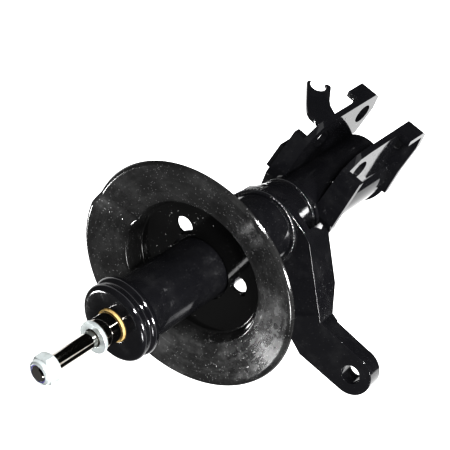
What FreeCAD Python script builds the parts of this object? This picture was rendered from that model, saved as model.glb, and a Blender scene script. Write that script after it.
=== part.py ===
import FreeCAD, Part
import math
import os
import Sketcher

# Front suspension strut: a twin-tube damper in a steel tube, with a welded spring seat,
# a steering arm, a knuckle bracket, a brake hose bracket and a cable bracket.
# Z runs along the strut with the rod end up. X points along the two ears of the knuckle
# bracket, away from the tube. The origin is on the strut axis, at the spring seat's floor.
# Lengths are in millimetres and angles in degrees.

DIMENSIONS = [
    ("rod_dia", 22, "piston rod"),
    ("shank_dia", 12, "threaded upper end of the rod"),
    ("shank_length", 53, "from the rod's shoulder to its tip"),
    ("shoulder_height", 103.5, "rod shoulder above the seat floor"),
    ("washer_dia", "=2*shank_dia", "washer on the rod shoulder"),
    ("washer_bore", "=shank_dia + 1.5", "hole in that washer"),
    ("washer_thick", 3, "its thickness"),
    ("nut_flats", 19, "lock nut across flats"),
    ("nut_height", 12.5, "lock nut overall height"),
    ("nut_ring_height", 3.4, "nylon ring in the lock nut"),
    ("rod_past_nut", 0.6, "rod tip beyond the nut"),
    ("tube_dia", 48, "strut tube outside"),
    ("tube_wall", 2.5, "strut tube wall"),
    ("tube_above", 84, "tube top above the seat floor"),
    ("tube_below", 194.5, "tube bottom below the seat floor"),
    ("lip_inset", 3.2, "rolled lip inwards from the tube's bore"),
    ("lip_thick", 2.5, "rolled lip along the axis"),
    ("cap_dia", "=tube_dia + 12", "bump cap outside"),
    ("cap_height", 16, "bump cap along the axis"),
    ("cap_plate", 4, "bump cap's top plate"),
    ("cap_groove", 2.6, "depth of the groove round the cap"),
    ("run_gap", 0.05, "radial running gap between sliding pieces"),
    ("wiper_dia", "=rod_dia + 3", "rod wiper outside"),
    ("wiper_proud", 1.6, "wiper above the cap"),
    ("seal_height", 5.5, "oil seal"),
    ("guide_height", 18, "rod guide body"),
    ("spigot_height", 8, "rod guide's spigot in the pressure tube"),
    ("bush_wall", 1.6, "guide bush wall"),
    ("pressure_bore", "=rod_dia + 8", "pressure tube inside"),
    ("pressure_wall", 1.5, "pressure tube wall"),
    ("base_thick", 3.5, "base cup in the tube's bottom"),
    ("valve_flange", 7.5, "base valve below the pressure tube"),
    ("valve_spigot", 5, "base valve inside the pressure tube"),
    ("piston_depth", 126, "rod's lower shoulder below the seat floor"),
    ("piston_height", 18, "piston along the axis"),
    ("piston_stem", 12, "rod below the lower shoulder"),
    ("band_wall", 1.4, "piston band, radial"),
    ("band_height", 12, "piston band, along the axis"),
    ("disc_thick", 2, "intake disc above the piston"),
    ("stack_thick", 3, "rebound discs below the piston"),
    ("piston_nut_flats", 19, "piston nut across flats"),
    ("piston_nut_height", 9, "piston nut"),
    ("rebound_gap", 30, "rebound ring above the lower shoulder"),
    ("ring_height", 6, "rebound ring"),
    ("bumper_height", 8, "rebound bumper"),
    ("seat_dia", 179, "spring seat across the rim"),
    ("seat_sheet", 3, "spring seat sheet"),
    ("seat_rise", 15, "rim above the seat floor"),
    ("seat_tilt_x", 3.1, "seat tilt about the first axis"),
    ("seat_tilt_y", 4.6, "seat tilt about the second axis"),
    ("seat_bore", "=tube_dia + 3", "hole in the seat's floor"),
    ("seat_floor_dia", 104, "flat floor of the seat"),
    ("seat_step_dia", 114, "inner edge of the spring's land"),
    ("land_rise", 8, "inner edge of the land above the floor"),
    ("seat_hem", 2.5, "turned-down rim"),
    ("drain_dia", 14.5, "drain holes in the floor"),
    ("drain_ring", 34, "drain holes from the axis"),
    ("sleeve_dia", "=tube_dia + 9.6", "support sleeve outside"),
    ("sleeve_wall", 3, "support sleeve wall"),
    ("sleeve_top", 36, "sleeve top below the seat floor"),
    ("sleeve_length", 63, "sleeve along the axis"),
    ("sleeve_taper", 15, "tapered lower end of the sleeve"),
    ("arm_drop", 67, "arm's upper face below the seat floor, at the axis"),
    ("arm_thick", 9, "steering arm plate"),
    ("arm_pitch", 14, "arm plane's tilt"),
    ("arm_yaw", -23, "arm plane's turn about the axis"),
    ("arm_half_width", "=sleeve_dia/2 + 2.2", "arm's half width beside the tube"),
    ("arm_eye_dia", 33.6, "eye at the arm's end"),
    ("arm_tip_thick", 16, "arm beyond its bend, along the hole"),
    ("arm_hole", 14.8, "tie rod hole"),
    ("arm_reach", 128.3, "tie rod hole from the strut axis, along the arm"),
    ("arm_rib", 5, "turned-down edge of the arm"),
    ("arm_rib_depth", 30.8, "turned-down edge below the arm's upper face"),
    ("ear_sheet", 5, "knuckle bracket's ears and turned-out edges"),
    ("wrap_sheet", 3, "knuckle bracket round the tube"),
    ("ear_gap", 33.6, "between the ears"),
    ("ear_reach", 55, "ears from the strut axis"),
    ("bracket_gap", 6, "bracket's upper edge below the sleeve's foot"),
    ("bracket_height", 106, "bracket along the axis"),
    ("upper_hem_near", 13.5, "turned-out upper edge, arm side"),
    ("upper_hem_far", 9.3, "turned-out upper edge, hose side"),
    ("lower_hem", 10.4, "turned-out lower edge"),
    ("tab_height", 18, "turned-out tabs at the ear ends"),
    ("bolt_hole", 16.2, "knuckle bolt holes"),
    ("bolt_offset", 39.5, "knuckle bolts from the strut axis"),
    ("bolt_edge", 15.5, "lower knuckle bolt above the ear ends"),
    ("bolt_pitch", 52, "between the knuckle bolts"),
    ("bead", 3, "leg of the weld beads"),
    ("fork_sheet", 3, "hose bracket sheet"),
    ("fork_drop", 32, "hose bracket's upper corner below the bracket's upper edge"),
    ("fork_slot", 13, "hose bracket's slot across"),
    ("clip_sheet", 3, "cable bracket sheet"),
    ("clip_length", 17, "cable bracket along the hem"),
]

doc = FreeCAD.newDocument("strut_assembly")
sheet = doc.addObject("Spreadsheet::Sheet", "sizes")
for row, (alias, value, meaning) in enumerate(DIMENSIONS, start=1):
    sheet.set("A%d" % row, str(value))
    sheet.setAlias("A%d" % row, alias)
    sheet.set("B%d" % row, meaning)
doc.recompute()

# Heights of the knuckle bracket and the corners of its two slanted edges, as (x, z).
TOP = "-sizes.sleeve_top - sizes.sleeve_length - sizes.bracket_gap"
BOTTOM = TOP + " - sizes.bracket_height"
REACH = "sizes.ear_reach"
FLAT_END = "(sizes.tube_dia - 35)"
UPPER_EDGE = [("-12", TOP), (FLAT_END, TOP), (REACH + " - 9", TOP + " - 19")]
LOWER_EDGE = [(REACH, BOTTOM + " + 5"), (REACH + " - 4", BOTTOM), (REACH + " - 17", BOTTOM),
              ("18", BOTTOM + " + 12"), ("-26", BOTTOM + " + 23")]

PARTS = []


def size(alias):
    """A driving dimension, read from the sheet."""
    return float(sheet.get(alias))


def bind(obj, **expressions):
    """Tie properties of an object to the sheet; a double underscore stands for a dot."""
    for path, expression in expressions.items():
        obj.setExpression(path.replace("__", "."), expression)
    return obj


def keep(obj, label):
    """Name a finished sub-part, so that it is written out."""
    obj.Label = label
    PARTS.append(obj)
    return obj


def origin_plane(body, role):
    """One of a body's own origin planes."""
    return [item for item in body.Origin.OriginFeatures if item.Role == role][0]


def outline_sketch(body, plane, points):
    """A closed outline whose corners are pairs of expressions on the sheet."""
    sketch = body.newObject("Sketcher::SketchObject", body.Name + "_outline")
    sketch.AttachmentSupport = [(origin_plane(body, plane), "")]
    sketch.MapMode = "FlatFace"
    count = len(points)
    turn = 2 * math.pi / count
    guess = [(50 * math.cos(turn * i), 50 * math.sin(turn * i)) for i in range(count)]
    for i in range(count):
        start = FreeCAD.Vector(*guess[i], 0)
        end = FreeCAD.Vector(*guess[(i + 1) % count], 0)
        sketch.addGeometry(Part.LineSegment(start, end))
    for i in range(count):
        sketch.addConstraint(Sketcher.Constraint("Coincident", i, 2, (i + 1) % count, 1))
    for i, corner in enumerate(points):
        for kind, value, expression in zip(("DistanceX", "DistanceY"), guess[i], corner):
            index = sketch.addConstraint(Sketcher.Constraint(kind, -1, 1, i, 1, value))
            sketch.setExpression("Constraints[%d]" % index, expression)
    doc.recompute()
    return sketch


def turned(name, points):
    """A body turned about the strut axis from (radius, height) corners."""
    body = doc.addObject("PartDesign::Body", name)
    sketch = outline_sketch(body, "XZ_Plane", points)
    feature = body.newObject("PartDesign::Revolution", name + "_turned")
    feature.Profile = sketch
    feature.ReferenceAxis = (sketch, ["V_Axis"])
    feature.Angle = 360
    doc.recompute()
    return body


def padded(name, plane, points, length, midplane=False):
    """A body padded from an outline."""
    body = doc.addObject("PartDesign::Body", name)
    sketch = outline_sketch(body, plane, points)
    feature = body.newObject("PartDesign::Pad", name + "_pad")
    feature.Profile = sketch
    feature.SideType = "Symmetric" if midplane else "One side"
    feature.setExpression("Length", length)
    doc.recompute()
    return body


def cylinder(name, radius, height, x="0", y="0", z="0"):
    """An upright cylinder."""
    obj = doc.addObject("Part::Cylinder", name)
    bind(obj, Radius=radius, Height=height, Placement__Base__x=x,
         Placement__Base__y=y, Placement__Base__z=z)
    return obj


def block(name, length, width, height, x="0", y="0", z="0"):
    """A box with one corner at the given place."""
    obj = doc.addObject("Part::Box", name)
    bind(obj, Length=length, Width=width, Height=height, Placement__Base__x=x,
         Placement__Base__y=y, Placement__Base__z=z)
    return obj


def cross_pin(name, radius, length, x, z):
    """A cylinder lying along Y, centred on the strut's mid-plane."""
    obj = doc.addObject("Part::Cylinder", name)
    obj.Placement = FreeCAD.Placement(FreeCAD.Vector(), FreeCAD.Rotation(FreeCAD.Vector(1, 0, 0), -90))
    bind(obj, Radius=radius, Height=length, Placement__Base__x=x,
         Placement__Base__y="-(%s)/2" % length, Placement__Base__z=z)
    return obj


def cut(name, base, *tools):
    """The base less every tool."""
    result = base
    for i, tool in enumerate(tools):
        step = doc.addObject("Part::Cut", "%s_cut%d" % (name, i))
        step.Base = result
        step.Tool = tool
        result = step
    doc.recompute()
    return result


def fuse(name, *pieces):
    """The pieces joined into one."""
    obj = doc.addObject("Part::MultiFuse", name + "_fuse")
    obj.Shapes = list(pieces)
    obj.Refine = True
    doc.recompute()
    return obj


def common(name, first, second):
    """What two solids share."""
    obj = doc.addObject("Part::Common", name + "_common")
    obj.Base = first
    obj.Tool = second
    doc.recompute()
    return obj


def hexagon(name, flats, height, bore, z):
    """A hexagon nut with chamfered corners and a plain bore."""
    prism = doc.addObject("Part::Prism", name + "_hex")
    prism.Polygon = 6
    bind(prism, Circumradius="(%s)/sqrt(3)" % flats, Height=height, Placement__Base__z=z)
    cone = turned(name + "_chamfer", [
        ("0", z), ("(%s)*0.49" % flats, z), ("(%s)*0.6" % flats, "%s + 1.4" % z),
        ("(%s)*0.6" % flats, "%s + %s - 1.4" % (z, height)),
        ("(%s)*0.49" % flats, "%s + %s" % (z, height)), ("0", "%s + %s" % (z, height))])
    solid = common(name, prism, cone)
    return cut(name, solid, cylinder(name + "_bore", bore, height, z=z))


# --- The rod and what turns and slides with it -------------------------------------------

def make_rod():
    """Chromed rod: upper shank, full diameter, and the stem that carries the piston."""
    rod = turned("rod", [
        ("0", "-sizes.piston_depth - sizes.disc_thick - sizes.piston_height - sizes.stack_thick"
              " - sizes.piston_nut_height - 2"),
        ("sizes.piston_stem/2", "-sizes.piston_depth - sizes.disc_thick - sizes.piston_height"
                                " - sizes.stack_thick - sizes.piston_nut_height - 2"),
        ("sizes.piston_stem/2", "-sizes.piston_depth"),
        ("sizes.rod_dia/2", "-sizes.piston_depth"),
        ("sizes.rod_dia/2", "sizes.shoulder_height - 1.2"),
        ("sizes.rod_dia/2 - 1.2", "sizes.shoulder_height"),
        ("sizes.shank_dia/2", "sizes.shoulder_height"),
        ("sizes.shank_dia/2", "sizes.shoulder_height + sizes.shank_length - 1"),
        ("sizes.shank_dia/2 - 1", "sizes.shoulder_height + sizes.shank_length"),
        ("0", "sizes.shoulder_height + sizes.shank_length")])
    keep(rod, "piston_rod")


def make_top_hardware():
    """Flat washer on the rod's shoulder and the nylon-ring lock nut at the rod's tip."""
    plate = cylinder("washer_plate", "sizes.washer_dia/2", "sizes.washer_thick", z="sizes.shoulder_height")
    bore = cylinder("washer_hole", "sizes.washer_bore/2", "sizes.washer_thick", z="sizes.shoulder_height")
    keep(cut("washer", plate, bore), "rod_washer")
    tip = "sizes.shoulder_height + sizes.shank_length"
    top = tip + " - sizes.rod_past_nut"
    foot = top + " - sizes.nut_height"
    steel = hexagon("nut", "sizes.nut_flats", "sizes.nut_height - sizes.nut_ring_height",
                    "sizes.shank_dia/2", foot)
    crown = turned("nut_crown", [
        ("sizes.nut_flats*0.42", top + " - sizes.nut_ring_height"),
        ("sizes.nut_flats*0.49", top + " - sizes.nut_ring_height"),
        ("sizes.nut_flats*0.46", top + " - 0.9"),
        ("sizes.nut_flats*0.38", top),
        ("sizes.nut_flats*0.36", top),
        ("sizes.nut_flats*0.36", top + " - 0.7"),
        ("sizes.nut_flats*0.42", top + " - 0.7")])
    keep(fuse("lock_nut", steel, crown), "lock_nut")
    ring = turned("nylon", [
        ("sizes.shank_dia/2", top + " - sizes.nut_ring_height"),
        ("sizes.nut_flats*0.42", top + " - sizes.nut_ring_height"),
        ("sizes.nut_flats*0.42", top + " - 0.7"),
        ("sizes.shank_dia/2", top + " - 0.7")])
    keep(ring, "nut_nylon_ring")


def make_piston():
    """Piston with its band, discs, nut and the rebound stop further up the rod."""
    head = "-sizes.piston_depth - sizes.disc_thick"
    foot = head + " - sizes.piston_height"
    skirt = "sizes.pressure_bore/2 - 0.4"
    groove = "sizes.pressure_bore/2 - sizes.run_gap - sizes.band_wall"
    piston = turned("piston_core", [
        ("sizes.piston_stem/2", foot), (skirt, foot),
        (skirt, foot + " + (sizes.piston_height - sizes.band_height)/2"),
        (groove + " - sizes.run_gap", foot + " + (sizes.piston_height - sizes.band_height)/2"),
        (groove + " - sizes.run_gap", head + " - (sizes.piston_height - sizes.band_height)/2"),
        (skirt, head + " - (sizes.piston_height - sizes.band_height)/2"),
        (skirt, head), ("sizes.piston_stem/2", head)])
    ports = []
    for i in range(6):
        angle = "%d" % (60 * i)
        ports.append(cylinder("port%d" % i, "1.4", "sizes.piston_height",
                              x="9.8*cos(%s)" % angle, y="9.8*sin(%s)" % angle, z=foot))
    keep(cut("piston", piston, *ports), "piston")
    band = turned("band", [
        (groove, foot + " + (sizes.piston_height - sizes.band_height)/2 + 0.1"),
        (groove + " + sizes.band_wall", foot + " + (sizes.piston_height - sizes.band_height)/2 + 0.1"),
        (groove + " + sizes.band_wall", head + " - (sizes.piston_height - sizes.band_height)/2 - 0.1"),
        (groove, head + " - (sizes.piston_height - sizes.band_height)/2 - 0.1")])
    keep(band, "piston_band")
    keep(turned("intake", [
        ("sizes.piston_stem/2", head), ("12.4", head), ("12.4", head + " + 0.8"),
        ("9", head + " + sizes.disc_thick"), ("sizes.piston_stem/2", head + " + sizes.disc_thick")]),
        "intake_disc")
    keep(turned("stack", [
        ("sizes.piston_stem/2", foot), ("12", foot), ("12", foot + " - sizes.stack_thick/3"),
        ("10.8", foot + " - sizes.stack_thick/3"), ("10.8", foot + " - sizes.stack_thick*2/3"),
        ("9.6", foot + " - sizes.stack_thick*2/3"), ("9.6", foot + " - sizes.stack_thick"),
        ("sizes.piston_stem/2", foot + " - sizes.stack_thick")]), "rebound_discs")
    nut = hexagon("piston_nut", "sizes.piston_nut_flats", "sizes.piston_nut_height", "sizes.piston_stem/2",
                  foot + " - sizes.stack_thick - sizes.piston_nut_height")
    keep(nut, "piston_nut")
    low = "-sizes.piston_depth + sizes.rebound_gap"
    keep(turned("stop", [
        ("sizes.rod_dia/2", low), ("13.2", low), ("13.8", low + " + 0.6"),
        ("13.8", low + " + sizes.ring_height"), ("sizes.rod_dia/2", low + " + sizes.ring_height")]),
        "rebound_ring")
    seat = low + " + sizes.ring_height"
    keep(turned("bumper", [
        ("sizes.rod_dia/2", seat), ("13.8", seat), ("14.2", seat + " + sizes.bumper_height/2"),
        ("13.2", seat + " + sizes.bumper_height"), ("sizes.rod_dia/2", seat + " + sizes.bumper_height")]),
        "rebound_bumper")


# --- The tube and what stays still in it ---------------------------------------------------

def make_tube():
    """Strut tube with its top edge rolled in over the seal, and the base cup."""
    inner = "sizes.tube_dia/2 - sizes.tube_wall"
    tube = turned("tube", [
        (inner, "-sizes.tube_below"), ("sizes.tube_dia/2", "-sizes.tube_below"),
        ("sizes.tube_dia/2", "sizes.tube_above - 1.5"), ("sizes.tube_dia/2 - 1.5", "sizes.tube_above"),
        (inner + " - sizes.lip_inset", "sizes.tube_above"),
        (inner + " - sizes.lip_inset", "sizes.tube_above - sizes.lip_thick"),
        (inner, "sizes.tube_above - sizes.lip_thick")])
    keep(tube, "strut_tube")
    valve_room = "sizes.pressure_bore/2 + sizes.pressure_wall + 0.9"
    cup = turned("base", [
        ("0", "-sizes.tube_below - 2"), (inner + " - 4", "-sizes.tube_below - 2"),
        (inner, "-sizes.tube_below + 0.5"), (inner, "-sizes.tube_below + sizes.base_thick + 3"),
        (valve_room + " + 1", "-sizes.tube_below + sizes.base_thick + 3"),
        (valve_room, "-sizes.tube_below + sizes.base_thick"),
        ("0", "-sizes.tube_below + sizes.base_thick")])
    keep(cup, "tube_base_cup")


def make_pressure_tube():
    """Inner working cylinder, held between the base valve and the rod guide."""
    low = "-sizes.tube_below + sizes.base_thick + sizes.valve_flange"
    top = "sizes.tube_above - sizes.lip_thick - sizes.seal_height - sizes.guide_height"
    bore = "sizes.pressure_bore/2"
    keep(turned("pressure", [
        (bore, low), (bore + " + sizes.pressure_wall", low),
        (bore + " + sizes.pressure_wall", top), (bore, top)]), "pressure_tube")


def make_base_valve():
    """Base valve between the cup and the pressure tube: body with ports, discs and rivet."""
    low = "-sizes.tube_below + sizes.base_thick"
    seat = low + " + sizes.valve_flange"
    top = seat + " + sizes.valve_spigot"
    bore = "sizes.pressure_bore/2"
    body = turned("valve", [
        ("3", low), ("8", low), ("9", low + " + 2.5"), (bore + " + sizes.pressure_wall - 2", low + " + 2.5"),
        (bore + " + sizes.pressure_wall", low), (bore + " + sizes.pressure_wall + 0.6", low),
        (bore + " + sizes.pressure_wall + 0.6", seat), (bore, seat), (bore, top), ("3", top)])
    ports = []
    for i in range(6):
        angle = "%d" % (60 * i + 30)
        ports.append(cylinder("inlet%d" % i, "1.3", "sizes.valve_flange + sizes.valve_spigot",
                              x="10.6*cos(%s)" % angle, y="10.6*sin(%s)" % angle, z=low))
    keep(cut("base_valve", body, *ports), "base_valve_body")
    keep(turned("check", [
        ("3", top), ("12.6", top), ("12.6", top + " + 0.8"), ("8", top + " + 1.6"), ("3", top + " + 1.6")]),
        "base_valve_disc")
    keep(turned("rivet", [
        ("0", low + " + 0.3"), ("3", low + " + 0.3"), ("3", top + " + 1.6"), ("5.4", top + " + 1.6"),
        ("4.6", top + " + 3.6"), ("0", top + " + 3.6")]), "base_valve_rivet")


def make_head():
    """Rod guide with its bush, the oil seal, the rod wiper and the bump cap over the tube."""
    inner = "sizes.tube_dia/2 - sizes.tube_wall"
    seal_top = "sizes.tube_above - sizes.lip_thick"
    guide_top = seal_top + " - sizes.seal_height"
    guide_low = guide_top + " - sizes.guide_height"
    running = "sizes.rod_dia/2 + sizes.run_gap"
    bush = running + " + sizes.bush_wall"
    keep(turned("guide", [
        (bush, guide_low + " - sizes.spigot_height"),
        ("sizes.pressure_bore/2 - 0.8", guide_low + " - sizes.spigot_height"),
        ("sizes.pressure_bore/2", guide_low + " - sizes.spigot_height + 1"),
        ("sizes.pressure_bore/2", guide_low), (inner, guide_low), (inner, guide_top), (bush, guide_top)]),
        "rod_guide")
    keep(turned("bush", [
        (running, guide_low + " - sizes.spigot_height + 1"), (bush, guide_low + " - sizes.spigot_height + 1"),
        (bush, guide_top + " - 2"), (running, guide_top + " - 2")]), "guide_bush")
    keep(turned("seal", [
        (running, guide_top + " + 1"), (running + " + 2.4", guide_top), (inner, guide_top),
        (inner, seal_top), (running + " + 3", seal_top), (running, seal_top + " - 1.2")]), "oil_seal")
    keep(turned("wiper", [
        (running, "sizes.tube_above + 1"), ("sizes.wiper_dia/2", "sizes.tube_above"),
        ("sizes.wiper_dia/2", "sizes.tube_above + sizes.cap_plate + sizes.wiper_proud - 0.5"),
        ("sizes.wiper_dia/2 - 0.5", "sizes.tube_above + sizes.cap_plate + sizes.wiper_proud"),
        (running, "sizes.tube_above + sizes.cap_plate + sizes.wiper_proud - 0.8")]), "rod_wiper")
    cap_top = "sizes.tube_above + sizes.cap_plate"
    rim = "sizes.cap_dia/2"
    low = cap_top + " - sizes.cap_height"
    cap = turned("cap", [
        ("sizes.wiper_dia/2", cap_top), (rim + " - 5", cap_top), (rim + " - 2", cap_top + " - 1"),
        (rim + " - 0.6", cap_top + " - 3.2"), (rim + " - 1", cap_top + " - 5.6"),
        (rim + " - sizes.cap_groove", cap_top + " - 7"), (rim + " - sizes.cap_groove", cap_top + " - 9.5"),
        (rim + " - 0.5", cap_top + " - 11"), (rim, cap_top + " - 13"), (rim + " - 0.6", low),
        ("sizes.tube_dia/2", low), ("sizes.tube_dia/2", "sizes.tube_above - 1.5"),
        ("sizes.tube_dia/2 - 1.5", "sizes.tube_above"), ("sizes.wiper_dia/2", "sizes.tube_above")])
    keep(cap, "bump_cap")


# --- The spring seat and its support -------------------------------------------------------

def seat_placement():
    """The seat's own frame: the seat is tilted about its centre, which lies on the axis."""
    tilt = FreeCAD.Vector(size("seat_tilt_x"), size("seat_tilt_y"), 0)
    turn = FreeCAD.Rotation(FreeCAD.Vector(0, 0, 1), size("arm_yaw"))
    return FreeCAD.Placement(FreeCAD.Vector(), FreeCAD.Rotation(turn.multVec(tilt), tilt.Length))


def make_seat():
    """Pressed dish: floor, step, sloped land for the coil and a turned-down rim."""
    thick = "sizes.seat_sheet"
    bore = "sizes.seat_bore/2"
    rim = "sizes.seat_dia/2"
    floor_edge = "sizes.seat_floor_dia/2"
    step_edge = "sizes.seat_step_dia/2"
    dish = turned("dish", [
        (bore, "-%s" % thick), (bore, "-1"), (bore + " + 1", "0"), (floor_edge, "0"),
        (step_edge, "sizes.land_rise"), (rim + " - 5", "sizes.seat_rise - 1.6"),
        (rim + " - 2.6", "sizes.seat_rise"), (rim + " - 1", "sizes.seat_rise - 0.4"),
        (rim, "sizes.seat_rise - 2"), (rim, "sizes.seat_rise - sizes.seat_hem - 2"),
        (rim + " - %s" % thick, "sizes.seat_rise - sizes.seat_hem - 2"),
        (rim + " - %s" % thick, "sizes.seat_rise - 4.2"), (rim + " - 6", "sizes.seat_rise - 5"),
        (step_edge + " + 1.2", "sizes.land_rise - %s - 0.2" % thick),
        (floor_edge + " + 0.6", "-%s" % thick)])
    drains = []
    for i, angle in enumerate((43, 290)):
        hole = cylinder("drain%d" % i, "sizes.drain_dia/2", "3*sizes.seat_sheet",
                        x="sizes.drain_ring*cos(%d)" % angle, y="sizes.drain_ring*sin(%d)" % angle,
                        z="-2*sizes.seat_sheet")
        drains.append(hole)
    seat = cut("seat", dish, *drains)
    seat.Placement = seat_placement()
    keep(seat, "spring_seat")


def sleeve_heights():
    """Top, end of the straight part, and foot of the support sleeve."""
    foot = "-sizes.sleeve_top - sizes.sleeve_length"
    return "-sizes.sleeve_top", foot + " + sizes.sleeve_taper", foot


def sleeve_solid(name):
    """What the support sleeve encloses, filled in."""
    outer = "sizes.sleeve_dia/2"
    neck = "sizes.tube_dia/2 + 1.2"
    top, knee, foot = sleeve_heights()
    return turned(name, [
        ("0", foot), (neck, foot), (outer, knee), (outer, top + " - 5"), (neck, top), ("0", top)])


def make_sleeve():
    """Support sleeve on the tube, necked in at both ends, and the weld at its foot."""
    tube = "sizes.tube_dia/2"
    outer = "sizes.sleeve_dia/2"
    inner = outer + " - sizes.sleeve_wall"
    top, knee, foot = sleeve_heights()
    keep(turned("sleeve", [
        (tube, foot), (tube + " + 1.2", foot), (outer, knee), (outer, top + " - 5"), (tube + " + 1.2", top),
        (tube, top), (tube, top + " - 4"), (inner, top + " - 7"), (inner, knee + " + 1"),
        (tube, foot + " + 6")]), "support_sleeve")
    keep(turned("sleeve_bead", [
        (tube, foot + " - sizes.bead"), (tube + " + 1.6", foot + " - sizes.bead*0.6"),
        (tube + " + 1.6", foot), (tube, foot)]), "sleeve_weld")


def make_seat_weld():
    """Bead under the seat's floor that joins it to the tube."""
    ring = turned("seat_bead", [
        ("sizes.tube_dia/2 - 2", "-sizes.seat_sheet"), ("sizes.tube_dia/2 - 2", "-sizes.seat_sheet - 5"),
        ("sizes.seat_bore/2 - 0.4", "-sizes.seat_sheet - 5"),
        ("sizes.seat_bore/2 + sizes.bead", "-sizes.seat_sheet - 1.5"),
        ("sizes.seat_bore/2 + sizes.bead", "-sizes.seat_sheet")])
    ring.Placement = seat_placement()
    core = cylinder("seat_bead_core", "sizes.tube_dia/2", "40", z="-20")
    keep(cut("seat_bead_cut", ring, core), "seat_weld")


# --- The steering arm -----------------------------------------------------------------------

def arm_placement():
    """The arm's plane: tilted about Y, then turned about the strut axis."""
    turn = FreeCAD.Rotation(size("arm_yaw"), size("arm_pitch"), 0)
    return FreeCAD.Placement(FreeCAD.Vector(0, 0, -size("arm_drop")), turn)


def make_arm():
    """Pressed steering arm: plate round the sleeve, turned-down outer edge and a thick eye."""
    half = "sizes.arm_half_width"
    eye = "sizes.arm_eye_dia/2"
    reach = "sizes.arm_reach"
    outer_edge = [
        ("8", half), (half + " - 8", "22"), (half, "6"), (half + " + 1", "-20.8"), (half + " - 1", "-30.5"),
        ("-1", "-%s + 44" % reach), ("1.2", "-%s + 38.5" % reach),
        ("-3.7 + %s*0.985" % eye, "-%s + %s*0.17" % (reach, eye))]
    inner_edge = [
        ("-3.7 - %s*0.94" % eye, "-%s - %s*0.34" % (reach, eye)),
        ("-%s - 2" % half, "-%s + 32" % reach), ("-%s" % half, "-%s + 50" % reach),
        ("-%s" % half, "-8"), ("-20", "0"), ("4", "18")]
    plate = padded("arm_plate", "XY_Plane", outer_edge + inner_edge, "sizes.arm_thick")
    plate.Tip.Reversed = True
    disc = cylinder("arm_eye", eye, "sizes.arm_tip_thick", x="-3.7", y="-%s" % reach,
                    z="-sizes.arm_tip_thick")
    tip = padded("arm_tip", "XY_Plane", [
        ("1.2", "-%s + 38.5" % reach), ("-3.7 + %s*0.985" % eye, "-%s + %s*0.17" % (reach, eye)),
        ("-3.7", "-%s" % reach), ("-3.7 - %s*0.94" % eye, "-%s - %s*0.34" % (reach, eye)),
        ("-%s - 2" % half, "-%s + 32" % reach)], "sizes.arm_tip_thick")
    tip.Tip.Reversed = True
    strip = padded("arm_edge", "XY_Plane", [
        (half + " + 1", "-20.8"), (half + " - 1", "-30.5"), ("-1", "-%s + 44" % reach),
        ("1.2", "-%s + 38.5" % reach), ("1.2", "-%s + 33" % reach),
        ("1.2 - sizes.arm_rib", "-%s + 33" % reach),
        ("-1 - sizes.arm_rib", "-%s + 43.5" % reach), (half + " - 1 - sizes.arm_rib", "-30.5"),
        (half + " + 1 - sizes.arm_rib", "-20.8")], "sizes.arm_rib_depth")
    strip.Tip.Reversed = True
    side = padded("arm_edge_side", "YZ_Plane", [
        ("-20.8", "1"), ("-20.8", "-sizes.arm_rib_depth*0.8"), ("-28", "-sizes.arm_rib_depth"),
        ("-%s + 62" % reach, "-sizes.arm_rib_depth"), ("-%s + 33" % reach, "1 - sizes.arm_tip_thick"),
        ("-%s + 33" % reach, "1")], "4*sizes.arm_half_width", midplane=True)
    edge = common("arm_edge", strip, side)
    blank = fuse("arm", plate, disc, tip, edge)
    hole = cylinder("tie_rod_hole", "sizes.arm_hole/2", "40", x="-3.7", y="-%s" % reach, z="-20")
    flat = cut("arm_drilled", blank, hole)
    flat.Placement = arm_placement()
    keep(cut("arm_fitted", flat, sleeve_solid("arm_core")), "steering_arm")


def make_arm_weld():
    """Weld bead round the sleeve on the arm's upper face."""
    outer = "sizes.sleeve_dia/2"
    ring = turned("arm_bead", [
        ("sizes.tube_dia/2", "0"), (outer + " + sizes.bead*0.8", "0"),
        (outer + " + sizes.bead*0.6", "sizes.bead*0.9"), (outer + " - 2", "sizes.bead*1.9"),
        ("sizes.tube_dia/2", "sizes.bead*1.9")])
    ring.Placement = arm_placement()
    keep(cut("arm_bead_cut", ring, sleeve_solid("bead_core")), "arm_weld")


# --- The knuckle bracket ---------------------------------------------------------------------

def below(points, drop):
    """The same corners moved down, or up for a negative drop, in reverse order."""
    return [(x, "%s - (%s)" % (z, drop)) for x, z in reversed(points)]


def bracket_space(name):
    """What the bracket's sheet must stay clear of: the tube and the room between the ears."""
    tall = "sizes.bracket_height + 40"
    tube = cylinder(name + "_tube", "sizes.tube_dia/2", tall, z=BOTTOM + " - 20")
    slot = block(name + "_slot", REACH + " + 30", "sizes.ear_gap", tall,
                 y="-sizes.ear_gap/2", z=BOTTOM + " - 20")
    return [tube, slot]


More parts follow.
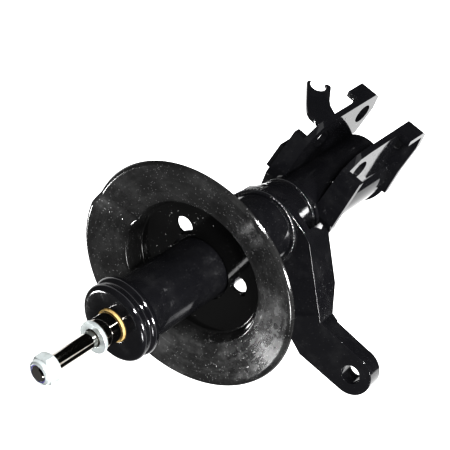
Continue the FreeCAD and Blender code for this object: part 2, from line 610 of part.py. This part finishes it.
def make_bracket():
    """Pressed bracket: wrapped round the tube, two ears, turned-out edges and end tabs."""
    sheet_t = "sizes.ear_sheet"
    ear_y = "(sizes.ear_gap/2 + sizes.ear_sheet)"
    height = "sizes.bracket_height + 20"
    low = BOTTOM + " - 10"
    wrap = cylinder("wrap", "sizes.tube_dia/2 + sizes.wrap_sheet", height, z=low)
    ears = block("ears", REACH, "2*%s" % ear_y, height, y="-%s" % ear_y, z=low)
    side = padded("ear_side", "XZ_Plane", [
        ("-40", TOP)] + UPPER_EDGE[1:] + [(REACH + " - 1", TOP + " - 33"), (REACH, TOP + " - 45")]
        + LOWER_EDGE + [("-40", BOTTOM + " + 26")], "200", midplane=True)
    shell = common("shell", fuse("wrapped", wrap, ears), side)

    upper_slab = padded("upper_slab", "XZ_Plane", UPPER_EDGE + below(UPPER_EDGE, sheet_t), "200",
                        midplane=True)
    upper_plan = padded("upper_plan", "XY_Plane", [
        ("-12", "%s + sizes.upper_hem_far" % ear_y), (REACH, "%s + sizes.upper_hem_far" % ear_y),
        (REACH, "-%s - sizes.upper_hem_near + 1" % ear_y), ("10", "-%s - sizes.upper_hem_near - 2" % ear_y),
        ("-12", "-%s - sizes.upper_hem_near + 2" % ear_y)], "40")
    bind(upper_plan, Placement__Base__z=TOP + " - 39")
    upper = common("upper_hem", upper_slab, upper_plan)

    lower_slab = padded("lower_slab", "XZ_Plane", LOWER_EDGE + below(LOWER_EDGE, "-" + sheet_t),
                        "200", midplane=True)
    skirt = cylinder("skirt", "sizes.tube_dia/2 + sizes.wrap_sheet + 2.5", height, z=low)
    apron = block("apron", REACH + " + 4", "2*(%s + sizes.lower_hem)" % ear_y, height,
                  x="-4", y="-%s - sizes.lower_hem" % ear_y, z=low)
    lower = common("lower_hem", fuse("lower_plan", skirt, apron), lower_slab)

    tabs = block("tabs", sheet_t, "2*(%s + sizes.lower_hem)" % ear_y, "sizes.tab_height",
                 x="%s - %s" % (REACH, sheet_t), y="-%s - sizes.lower_hem" % ear_y,
                 z=BOTTOM + " + 5")
    blank = fuse("bracket_blank", shell, upper, lower, tabs)
    tools = bracket_space("bracket")
    for i in range(2):
        tools.append(cross_pin("bolt%d" % i, "sizes.bolt_hole/2", "200", "sizes.bolt_offset",
                               BOTTOM + " + sizes.bolt_edge + %d*sizes.bolt_pitch" % i))
    keep(cut("bracket", blank, *tools), "knuckle_bracket")


def make_bracket_welds():
    """Beads that join the bracket's upper edge and its slanted lower edge to the tube."""
    tube = "sizes.tube_dia/2"
    slot = bracket_space("upper_weld")[1]
    ring = turned("upper_weld_ring", [
        (tube, TOP), (tube + " + sizes.bead", TOP), (tube + " + sizes.bead*0.7", TOP + " + sizes.bead*0.6"),
        (tube, TOP + " + sizes.bead*0.8")])
    keep(cut("upper_weld", ring, slot), "bracket_upper_weld")
    edge = [("-2", BOTTOM + " + 17"), ("-26", BOTTOM + " + 23"), ("-40", BOTTOM + " + 26")]
    slab = padded("lower_weld_slab", "XZ_Plane", edge + below(edge, "sizes.bead"), "200", midplane=True)
    bead = cylinder("lower_weld_outer", tube + " + sizes.bead", "60", z=BOTTOM)
    core = cylinder("lower_weld_core", tube, "60", z=BOTTOM)
    keep(cut("lower_weld", common("lower_weld", bead, slab), core), "bracket_lower_weld")


# --- The hose bracket and the cable bracket --------------------------------------------------

def make_hose_bracket():
    """Forked plate at the far ear's free edge: the brake hose's fitting drops in the slot."""
    root = "sizes.ear_gap/2 + sizes.ear_sheet"
    top = TOP + " - sizes.fork_drop"
    plate = padded("fork", "YZ_Plane", [
        (root, top), (root + " + 9", top + " - 0.6"), (root + " + 14", top + " - 3.4"),
        (root + " + 20", top + " - 9.5"), (root + " + 36", top + " - 29"), (root + " + 36.6", top + " - 31"),
        (root + " + 35.6", top + " - 32.6"), (root + " + 24", top + " - 42"),
        (root + " + 22.2", top + " - 42.4"), (root + " + 20.8", top + " - 41.2"),
        (root + " + 12", top + " - 29"), (root + " + 8", top + " - 25"), (root, top + " - 21")],
        "sizes.fork_sheet")
    slot = doc.addObject("Part::Cylinder", "fork_notch")
    slot.Placement = FreeCAD.Placement(
        FreeCAD.Vector(-5, 0, 0), FreeCAD.Rotation(FreeCAD.Vector(0, 1, 0), 90))
    bind(slot, Radius="sizes.fork_slot/2", Height="20", Placement__Base__y=root + " + 28.4",
         Placement__Base__z=top + " - 34.2")
    plate = cut("fork_notched", plate, slot)
    bind(plate, Placement__Base__x=REACH + " - sizes.fork_sheet")
    keep(plate, "hose_bracket")
    bead = padded("fork_bead", "XY_Plane", [
        (REACH + " - sizes.fork_sheet", root), (REACH + " - sizes.fork_sheet", root + " + sizes.bead"),
        (REACH + " - sizes.fork_sheet - sizes.bead", root)], "16")
    bind(bead, Placement__Base__z=top + " - 19")
    keep(bead, "hose_bracket_weld")


def make_cable_bracket():
    """Small angle under the far side's turned-out upper edge, for the wheel sensor's cable."""
    sheet_t = "sizes.clip_sheet"
    edge = "sizes.ear_gap/2 + sizes.ear_sheet + sizes.upper_hem_far"
    fall = "sizes.clip_length*19/(%s - 9 - %s)" % (REACH, FLAT_END)
    start = [(FLAT_END, TOP + " - sizes.ear_sheet"),
             (FLAT_END + " + sizes.clip_length", TOP + " - sizes.ear_sheet - " + fall)]
    plate = padded("clip_plate", "XZ_Plane", start + below(start, sheet_t), "200", midplane=True)
    leg = padded("clip_leg", "XZ_Plane", start + below(start, "14"), "200", midplane=True)
    top_room = block("clip_top_room", "60", "12", "60", y=edge + " - 7", z=TOP + " - 50")
    leg_room = block("clip_leg_room", "60", sheet_t, "70", y=edge + " + 5 - " + sheet_t, z=TOP + " - 60")
    keep(fuse("clip", common("clip_top", plate, top_room), common("clip_side", leg, leg_room)),
         "cable_bracket")


def check_and_write():
    """Refuse broken objects, then write each sub-part as its own file."""
    doc.recompute()
    broken = [obj.Label for obj in doc.Objects if "Invalid" in obj.State or "Error" in obj.State]
    assert not broken, "broken objects: %s" % broken
    os.makedirs("parts", exist_ok=True)
    for part in PARTS:
        shape = part.Shape
        assert not shape.isNull() and shape.isValid(), "bad shape: %s" % part.Label
        shape.exportStep(os.path.join("parts", part.Label + ".step"))
        print("%-22s solids %d volume %9.1f" % (part.Label, len(shape.Solids), shape.Volume))


for build in (make_rod, make_top_hardware, make_piston, make_tube, make_pressure_tube,
              make_base_valve, make_head, make_seat, make_sleeve, make_seat_weld, make_arm, make_arm_weld,
              make_bracket, make_bracket_welds, make_hose_bracket, make_cable_bracket):
    build()
check_and_write()
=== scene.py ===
import math

import bpy
import numpy as np
from mathutils import Matrix, Vector


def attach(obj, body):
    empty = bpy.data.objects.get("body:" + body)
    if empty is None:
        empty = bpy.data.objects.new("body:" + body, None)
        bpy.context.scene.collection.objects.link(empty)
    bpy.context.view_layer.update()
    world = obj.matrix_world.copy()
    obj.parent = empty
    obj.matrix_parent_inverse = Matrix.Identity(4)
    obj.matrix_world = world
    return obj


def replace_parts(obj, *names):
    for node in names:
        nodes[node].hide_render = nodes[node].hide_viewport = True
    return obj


# A car's front suspension strut: a damper tube with a welded spring seat, steering arm and
# knuckle bracket, all in gloss black paint, and a bright rod with its washer and lock nut.
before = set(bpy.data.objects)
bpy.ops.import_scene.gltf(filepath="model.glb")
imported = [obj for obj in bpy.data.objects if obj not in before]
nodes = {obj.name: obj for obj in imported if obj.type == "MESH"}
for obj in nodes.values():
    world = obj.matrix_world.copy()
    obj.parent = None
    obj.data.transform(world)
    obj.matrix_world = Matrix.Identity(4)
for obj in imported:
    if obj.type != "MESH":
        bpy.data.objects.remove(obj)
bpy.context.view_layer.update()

# --- Black paint ------------------------------------------------------------------------------
# The tube, sleeve, bracket, arm and small brackets are dipped and stoved in gloss black paint,
# with faint orange peel, trapped bubbles and specks, and handling dust.
class Wire:
    """An output socket of a material's node tree that can be added, multiplied and so on."""

    def __init__(self, tree, socket):
        self.tree = tree
        self.socket = socket

    def node(self, kind, settings, inputs, out=0):
        """Makes any node: its type, its settings, then its inputs by name or number."""
        made = self.tree.nodes.new(kind)
        for name, value in settings.items():
            setattr(made, name, value)
        for name, value in inputs.items():
            if isinstance(value, Wire):
                self.tree.links.new(value.socket, made.inputs[name])
            else:
                made.inputs[name].default_value = value
        return Wire(self.tree, made.outputs[out])

    def maths(self, operation, a, b=0.0):
        return self.node("ShaderNodeMath", {"operation": operation}, {0: a, 1: b})

    def __add__(self, other):
        return self.maths("ADD", self, other)

    def __sub__(self, other):
        return self.maths("SUBTRACT", self, other)

    def __rsub__(self, other):
        return self.maths("SUBTRACT", other, self)

    def __mul__(self, other):
        return self.maths("MULTIPLY", self, other)

    def __pow__(self, other):
        return self.maths("POWER", self, other)

    __radd__ = __add__
    __rmul__ = __mul__

    def ramp(self, low, high):
        """0 below low, 1 above high, smooth between; falls instead of rising if low > high."""
        settings = {"interpolation_type": "SMOOTHSTEP", "clamp": True}
        if low < high:
            return self.node("ShaderNodeMapRange", settings,
                             {"Value": self, "From Min": low, "From Max": high})
        return 1.0 - self.ramp(high, low)

    def tint(self, first, second):
        """The first colour where this is 0 and the second where it is 1."""
        return self.node("ShaderNodeMix", {"data_type": "RGBA"}, {0: self, 6: first, 7: second}, 2)

    def stretched(self, factors):
        return self.node("ShaderNodeVectorMath", {"operation": "MULTIPLY"}, {0: self, 1: factors})

    def noise(self, scale, detail=2.0, roughness=0.5):
        return self.node("ShaderNodeTexNoise", {}, {"Vector": self, "Scale": scale, "Detail": detail,
                                                    "Roughness": roughness}, "Fac")

    def dots(self, scale, radius, share):
        """Round spots of a radius in cells of a size, in a share of the cells."""
        cell = self.node("ShaderNodeTexVoronoi", {}, {"Vector": self, "Scale": scale})
        pick = Wire(self.tree, cell.socket.node.outputs["Color"])
        chance = pick.node("ShaderNodeSeparateColor", {}, {0: pick}, 0)
        return cell.ramp(radius, radius * 0.3) * chance.ramp(1.0 - share, 1.02 - share)


def material(name, **constants):
    """A new material with constants on its shader, and its object coordinates."""
    made = bpy.data.materials.new(name)
    made.use_nodes = True
    shader = made.node_tree.nodes["Principled BSDF"]
    for socket, value in constants.items():
        shader.inputs[socket.replace("_", " ")].default_value = value
    place = made.node_tree.nodes.new("ShaderNodeTexCoord").outputs["Object"]
    return made, Wire(made.node_tree, place)


def finish_with(made, height=None, depth=0.0, **feeds):
    """Feeds the shader's sockets, and its normal from a height in metres."""
    shader = made.node_tree.nodes["Principled BSDF"]
    if height is not None:
        feeds["Normal"] = height.node("ShaderNodeBump", {}, {"Height": height, "Distance": depth,
                                                             "Strength": 1.0})
    for socket, wire in feeds.items():
        made.node_tree.links.new(wire.socket, shader.inputs[socket.replace("_", " ")])
    return made


def wear(obj, made):
    """The object shows this material and no other."""
    obj.data.materials.clear()
    obj.data.materials.append(made)


def soften(node, width, sharp=28):
    """Rounds the pressed or cut edges of a CAD node as it is shown."""
    weld = nodes[node].modifiers.new("joined", "WELD")
    weld.merge_threshold = 1e-5
    bevel = nodes[node].modifiers.new("rounded", "BEVEL")
    bevel.width = width
    bevel.segments = 3
    bevel.limit_method = "ANGLE"
    bevel.angle_limit = math.radians(sharp)
    bevel.use_clamp_overlap = True
    bevel.harden_normals = False
    even = nodes[node].modifiers.new("even", "WEIGHTED_NORMAL")
    even.keep_sharp = False


def black_paint(name, dust, peel, specks):
    """Gloss black with an amount of dust and heights of orange peel and specks, in 0.01 mm."""
    made, place = material(name, Metallic=0.0, IOR=1.5, Coat_Roughness=0.03)
    ripple = place.noise(330, 2.0) + 1.6 * place.noise(95, 1.0)
    bubbles = place.dots(270, 0.30, 0.12) + 0.6 * place.dots(620, 0.32, 0.1)
    haze = place.noise(46, 7.0, 0.66).ramp(0.46, 0.74)
    wipe = place.stretched((90, 14, 30)).noise(1.0, 5.0, 0.6).ramp(0.54, 0.8)
    film = (haze * 0.7 + wipe * 0.5) * dust
    fleck = place.dots(900, 0.42, 0.07)
    colour = (film + fleck * 0.12).tint((0.006, 0.006, 0.007, 1), (0.16, 0.16, 0.155, 1))
    return finish_with(made, ripple * peel + bubbles * specks, 1e-5,
                       Base_Color=colour, Roughness=0.07 + film * 0.9 + haze * 0.05)


gloss = black_paint("black_paint", 0.05, 1.3, 7.0)
for node in ("strut_tube", "tube_base_cup", "support_sleeve", "steering_arm", "knuckle_bracket",
             "hose_bracket", "cable_bracket"):
    wear(nodes[node], gloss)
soften("steering_arm", 0.0026, 22)
soften("knuckle_bracket", 0.0009)
soften("hose_bracket", 0.0007)
soften("cable_bracket", 0.0007)

# --- Spring seat ------------------------------------------------------------------------------
# Deep-drawn steel dish that carries the coil spring, painted with the rest. Its sloped land holds
# dust that the coil has rubbed into rings, and the paint is blistered and flecked. On the side
# towards the key lamp the dust film is painted thicker and lighter, which is painted light.
def pressed_seat(name):
    """The seat's upper skin as a grid of azimuth and radius: a flat floor, a step of half a cosine,
    a sloped land that drops once round from its end stop, and a rim rolled over by a quarter
    circle. Squares inside the drain holes are left out and their corners moved onto the holes."""
    around, across = 540, 150
    rim, bore, floor_edge, step_edge = 0.0890, 0.0256, 0.0515, 0.0570
    drain_ring, drain_radius = 0.034, 0.00725
    rolled = 0.0042
    azimuth = np.linspace(0, 2 * np.pi, around, endpoint=False)[:, None]
    radius = np.linspace(bore, rim, across)[None, :] + 0 * azimuth
    past_stop = np.mod(azimuth - math.radians(82), 2 * np.pi)
    drop = np.clip(past_stop / math.radians(215), 0, 1)
    wall = np.clip(past_stop / math.radians(5), 0, 1)
    helix = 0.0070 * (1 - drop * drop * (3 - 2 * drop)) * wall * wall * (3 - 2 * wall)
    up = np.clip((radius - floor_edge) / (step_edge - floor_edge), 0, 1)
    rise = (0.5 - 0.5 * np.cos(np.pi * up)) * (0.0078 + 0.8 * helix)
    slope = np.clip((radius - step_edge) / (rim - step_edge), 0, 1)
    bend = np.clip((radius - rim + rolled) / rolled, 0, 1)
    height = rise + slope ** 1.15 * (0.0072 + 0.25 * helix) - rolled * (1 - np.sqrt(1 - 0.98 * bend ** 2))
    across_at = radius * np.cos(azimuth)
    along_at = radius * np.sin(azimuth)
    index = np.arange(around * across).reshape(around, across)
    after = np.roll(index, -1, axis=0)
    faces = np.stack([index[:, :-1], index[:, 1:], after[:, 1:], after[:, :-1]], -1).reshape(-1, 4)
    flat = np.stack([across_at.ravel(), along_at.ravel()], -1)
    keep = np.ones(len(faces), bool)
    for turn in (43, 290):
        centre = drain_ring * np.array([math.cos(math.radians(turn)), math.sin(math.radians(turn))])
        away = flat - centre
        reach = np.linalg.norm(away, axis=1)
        near = np.abs(reach - drain_radius) < 0.00035
        flat[near] = centre + away[near] * (drain_radius / reach[near])[:, None]
        middle = flat[faces].mean(1) - centre
        keep &= np.linalg.norm(middle, axis=1) > 0.0072
    points = np.column_stack([flat, height.ravel()])
    mesh = bpy.data.meshes.new(name)
    mesh.from_pydata(points.tolist(), [], faces[keep].tolist())
    made = bpy.data.objects.new(name, mesh)
    tilt = Matrix.Rotation(math.radians(5.547), 4, Vector((0.8383, 0.5452, 0)))
    mesh.transform(tilt)
    mesh.polygons.foreach_set("use_smooth", np.ones(len(mesh.polygons), bool))
    bpy.context.scene.collection.objects.link(made)
    sheet = made.modifiers.new("sheet", "SOLIDIFY")
    sheet.thickness = 0.003
    sheet.offset = -1
    edge = made.modifiers.new("edge", "BEVEL")
    edge.width = 0.0007
    edge.segments = 2
    edge.limit_method = "ANGLE"
    edge.angle_limit = math.radians(45)
    return made


seat_skin = pressed_seat("spring_seat_pan")
seat_paint, place = material("seat_paint_dust_and_painted_light", IOR=1.5)
apart = place.node("ShaderNodeSeparateXYZ", {}, {0: place}, 0)
side = Wire(apart.tree, apart.socket.node.outputs[1])
out = (apart * apart + side * side) ** 0.5
ring = out.ramp(0.050, 0.060) * (1.0 - 0.6 * out.ramp(0.084, 0.089))
cloud = place.noise(38, 8.0, 0.68).ramp(0.40, 0.72)
azimuth = side.maths("ARCTAN2", side, apart)
turning = out.node("ShaderNodeCombineXYZ", {}, {0: out * 230.0, 1: azimuth * 2.6, 2: 0.0})
fleck = place.dots(700, 0.4, 0.22)
blister = place.dots(330, 0.34, 0.2)
swirl = turning.noise(1.0, 5.0, 0.66).ramp(0.46, 0.80)
# Painted light: this factor makes the dust film thicker and lighter on the seat's side towards the key
# lamp.
lamp_side_painted_light = azimuth.maths("COSINE", azimuth + 1.95).ramp(-0.2, 1.0)
film = ring * (0.14 + cloud * (0.26 + 0.25 * lamp_side_painted_light) + swirl * (0.16 + 0.2 * lamp_side_painted_light))
relief = place.noise(300, 2.0) + place.noise(90, 1.0) + blister * 9.0 + fleck * 3.0
# The seat's colour is real dust and flecks, plus painted light where the film is lightened on the lamp
# side.
dust_and_painted_light = (film * 0.26 + ring * fleck * 0.30).tint((0.004, 0.004, 0.004, 1), (0.26, 0.26, 0.26, 1))
finish_with(seat_paint, relief, 1.2e-5, Base_Color=dust_and_painted_light, Roughness=0.08 + film * 0.34)
wear(seat_skin, seat_paint)
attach(seat_skin, "strut")
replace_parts(seat_skin, "spring_seat")

# --- Weld beads -------------------------------------------------------------------------------
# Arc welds that join the seat, sleeve, arm and brackets to the tube, laid in overlapping
# ripples and painted over with the rest.
weld_paint = black_paint("weld_paint", 0.2, 6.0, 8.0)


def ripple_bead(name, path, outward, width, height):
    """A closed bead along a closed path: a circle of the bead's height and width as its profile,
    swollen by overlapping scallops, which are the size of a folded sine along the path."""
    around = 28
    turn = np.linspace(0, 2 * np.pi, around, endpoint=False)[None, :]
    step = np.linalg.norm(np.roll(path, -1, axis=0) - path, axis=1)
    along = (np.cumsum(step) - step)[:, None]
    count = round(step.sum() / 0.0026)
    phase = along / step.sum() * count * np.pi + 0.6 * np.sin(turn)
    swell = 0.86 + 0.14 * np.abs(np.sin(phase)) + 0.05 * np.sin(3.1 * phase / count * 7)
    up = np.array([0.0, 0.0, 1.0])
    centre = path[:, None, :]
    points = (centre + outward[:, None, :] * (np.cos(turn) * swell * width)[:, :, None]
              + up * (np.sin(turn) * swell * height)[:, :, None])
    index = np.arange(len(path) * around).reshape(len(path), around)
    ahead_of = np.roll(index, -1, axis=0)
    faces = np.stack([index, ahead_of, np.roll(ahead_of, -1, 1), np.roll(index, -1, 1)], -1)
    mesh = bpy.data.meshes.new(name)
    mesh.from_pydata(points.reshape(-1, 3).tolist(), [], faces.reshape(-1, 4).tolist())
    mesh.polygons.foreach_set("use_smooth", np.ones(len(mesh.polygons), bool))
    made = bpy.data.objects.new(name, mesh)
    bpy.context.scene.collection.objects.link(made)
    wear(made, weld_paint)
    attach(made, "strut")
    return made


azimuth = np.linspace(0, 2 * np.pi, 720, endpoint=False)
outward = np.column_stack([np.cos(azimuth), np.sin(azimuth), 0 * azimuth])
sleeve_bead = outward * 0.0250 + np.array([0, 0, -0.1004])
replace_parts(ripple_bead("sleeve_foot_bead", sleeve_bead, outward, 0.0016, 0.0018), "sleeve_weld")
slope = (0.2227 * outward[:, 0] - 0.0945 * outward[:, 1]) / 0.9703
arm_bead_height = -0.067 + 0.0015 - 0.0294 * slope
arm_bead = outward * 0.0294 + np.column_stack([0 * azimuth, 0 * azimuth, arm_bead_height])
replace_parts(ripple_bead("arm_bead", arm_bead, outward, 0.0024, 0.0026), "arm_weld")
for node in ("seat_weld", "bracket_upper_weld", "bracket_lower_weld", "hose_bracket_weld"):
    wear(nodes[node], weld_paint)

# --- Bump cap ---------------------------------------------------------------------------------
# Pressed cap over the tube's top that stops the bump rubber, in a smoother black.
cap_black, place = material("cap_black", IOR=1.5)
film = place.noise(60, 5.0, 0.6).ramp(0.45, 0.8)
finish_with(cap_black, place.noise(260, 2.0), 8e-6,
            Base_Color=(film * 0.03).tint((0.005, 0.005, 0.006, 1), (0.2, 0.2, 0.2, 1)),
            Roughness=0.10 + film * 0.14)
wear(nodes["bump_cap"], cap_black)
soften("bump_cap", 0.0012)

# --- Rod --------------------------------------------------------------------------------------
# Steel rod, ground round and hard-chromed, with a turned-down threaded end.
rod_chrome, place = material("rod_chrome", Metallic=1.0)
rings = place.stretched((30, 30, 2600)).noise(1.0, 3.0, 0.6)
smear = place.noise(120, 5.0, 0.6).ramp(0.5, 0.85)
bands = place.stretched((8, 8, 130)).noise(1.0, 3.0, 0.6).ramp(0.42, 0.66)
finish_with(rod_chrome, rings, 1.2e-6,
            Base_Color=(smear * 0.4 + bands * 0.45).tint((0.42, 0.41, 0.39, 1), (0.27, 0.20, 0.12, 1)),
            Roughness=0.055 + smear * 0.10)
wear(nodes["piston_rod"], rod_chrome)

# --- Washer and lock nut ----------------------------------------------------------------------
# Stamped washer and prevailing-torque nut, both bright zinc plated.
zinc, place = material("zinc_plate", Metallic=0.6)
grain = place.noise(900, 4.0, 0.6)
stain = place.noise(150, 5.0, 0.6).ramp(0.5, 0.8)
finish_with(zinc, grain, 1.2e-5,
            Base_Color=stain.tint((0.40, 0.43, 0.43, 1), (0.20, 0.21, 0.19, 1)),
            Roughness=0.30 + stain * 0.16)
wear(nodes["rod_washer"], zinc)
wear(nodes["lock_nut"], zinc)
soften("rod_washer", 0.0004)
soften("lock_nut", 0.0005)

# --- Nylon ring -------------------------------------------------------------------------------
# Violet-blue nylon ring swaged into the nut's collar, which grips the thread.
nylon, place = material("nylon_ring", IOR=1.53)
mottle = place.noise(400, 4.0, 0.6)
finish_with(nylon, mottle, 2e-5,
            Base_Color=mottle.tint((0.07, 0.05, 0.26, 1), (0.16, 0.14, 0.42, 1)),
            Roughness=0.34 + mottle * 0.2)
wear(nodes["nut_nylon_ring"], nylon)

# --- Wiper ring -------------------------------------------------------------------------------
# Thin amber plastic lip round the rod, proud of the cap.
wiper, place = material("wiper_ring", IOR=1.5)
grime = place.noise(500, 5.0, 0.6).ramp(0.45, 0.75)
finish_with(wiper, grime, 1e-5, Base_Color=grime.tint((0.34, 0.25, 0.11, 1), (0.12, 0.08, 0.03, 1)),
            Roughness=0.35 + grime * 0.2)
wear(nodes["rod_wiper"], wiper)

# --- Inner pieces -----------------------------------------------------------------------------
# Oiled steel tube, discs and nuts, sintered iron guide, piston and base valve, bronze bush,
# rubber seal and bumper and the piston's filled-PTFE band, all inside the strut tube.
def plain(name, first, second, metallic, rough, scale, members):
    """One mottled finish between two colours, worn by several nodes."""
    made, place = material(name, Metallic=metallic)
    mottle = place.noise(scale, 4.0, 0.6)
    finish_with(made, mottle, 1e-5, Base_Color=mottle.tint(first + (1,), second + (1,)),
                Roughness=rough + mottle * 0.15)
    for member in members:
        wear(nodes[member], made)


plain("bare_steel", (0.44, 0.44, 0.45), (0.58, 0.58, 0.59), 1.0, 0.22, 300,
      ("pressure_tube", "base_valve_disc", "base_valve_rivet", "intake_disc", "rebound_discs",
       "piston_nut", "rebound_ring"))
plain("sintered_iron", (0.13, 0.13, 0.13), (0.26, 0.26, 0.26), 0.8, 0.45, 900,
      ("rod_guide", "piston", "base_valve_body"))
plain("bush_bronze", (0.50, 0.37, 0.20), (0.62, 0.48, 0.30), 1.0, 0.25, 500, ("guide_bush",))
plain("black_rubber", (0.014, 0.014, 0.014), (0.03, 0.03, 0.03), 0.0, 0.6, 500,
      ("oil_seal", "rebound_bumper"))
plain("ptfe_band", (0.09, 0.07, 0.05), (0.15, 0.12, 0.09), 0.0, 0.45, 500, ("piston_band",))

# --- Camera -----------------------------------------------------------------------------------
# Looks down at the strut from the knuckle side, with the rod towards the lower left.
eye = Vector((0.7356, -0.3122, 0.6038))
ahead = (Vector((0.00624, 0.01469, -0.04181)) - eye).normalized()
level = ahead.cross(Vector((0, 0, 1))).normalized()
lower = ahead.cross(level)
roll = 2.14
right = math.cos(roll) * level + math.sin(roll) * lower
down = math.cos(roll) * lower - math.sin(roll) * level
camera = bpy.data.objects.new("camera", bpy.data.cameras.new("camera"))
bpy.context.scene.collection.objects.link(camera)
camera.matrix_world = Matrix.Translation(eye) @ Matrix((right, -down, -ahead)).transposed().to_4x4()
camera.data.lens = 112
camera.data.sensor_width = 36
camera.data.clip_end = 100
bpy.context.scene.camera = camera

# --- Studio -----------------------------------------------------------------------------------
# A dim room with a bright pale floor well below, a soft key lamp and small lamps that pick out
# the edges. Dark cards behind the camera and over the floor, two of them unseen by the camera,
# give the gloss paint and the bright rod their black areas.
world = bpy.data.worlds.new("studio")
bpy.context.scene.world = world
world.use_nodes = True
world.node_tree.nodes["Background"].inputs["Color"].default_value = (1, 1, 1, 1)
world.node_tree.nodes["Background"].inputs["Strength"].default_value = 0.16


def card(name, centre, facing, width, height, colour, glow):
    """A flat stage rectangle that faces a point: diffuse, and glowing if glow is above 0."""
    corners = np.array([(-1, -1, 0), (1, -1, 0), (1, 1, 0), (-1, 1, 0)]) * (width / 2, height / 2, 0)
    mesh = bpy.data.meshes.new(name)
    mesh.from_pydata(corners.tolist(), [], [(0, 1, 2, 3)])
    made = bpy.data.objects.new(name, mesh)
    bpy.context.scene.collection.objects.link(made)
    turn = (Vector(facing) - Vector(centre)).to_track_quat("Z", "Y")
    made.matrix_world = Matrix.Translation(centre) @ turn.to_matrix().to_4x4()
    look, _ = material(name, Base_Color=colour + (1,), Roughness=1.0, Emission_Color=colour + (1,),
                       Emission_Strength=glow)
    mesh.materials.append(look)
    return made


card("floor", (0, 0, -0.9), (0, 0, 1), 30, 30, (0.92, 0.92, 0.92), 1.0)
for name, across, along, width, height in (("under_card", 0.58, 0.05, 1.5, 2.4),
                                           ("near_card", -0.45, -1.05, 1.1, 1.1)):
    under = card(name, (across, along, -0.62), (across, along, 0), width, height, (0.002,) * 3, 0.0)
    under.visible_camera = False
    under.visible_diffuse = False
    under.visible_shadow = False
card("dark_card", eye - ahead * 0.25 + Vector((0.1, -0.1, 0.25)), (0, 0, 0), 1.7, 1.7,
     (0.002, 0.002, 0.002), 0.0)
for name, where, power, size in (("key", (-0.5, -0.9, 1.3), 11, 0.35),
                                 ("flash", (0.88, -0.40, 0.30), 16, 0.16),
                                 ("spark", (0.80, -0.40, 0.62), 6, 0.05),
                                 ("strip", (-0.9, 0.7, 0.9), 6, 0.2),
                                 ("low", (0.34, -0.92, 0.26), 14, 0.22)):
    lamp = bpy.data.objects.new(name, bpy.data.lights.new(name, "AREA"))
    bpy.context.scene.collection.objects.link(lamp)
    lamp.data.energy = power
    lamp.data.size = size
    lamp.location = where
    lamp.rotation_euler = (-Vector(where)).to_track_quat("-Z", "Y").to_euler()
bpy.context.scene.view_settings.view_transform = "Standard"
bpy.context.scene.view_settings.look = "High Contrast"
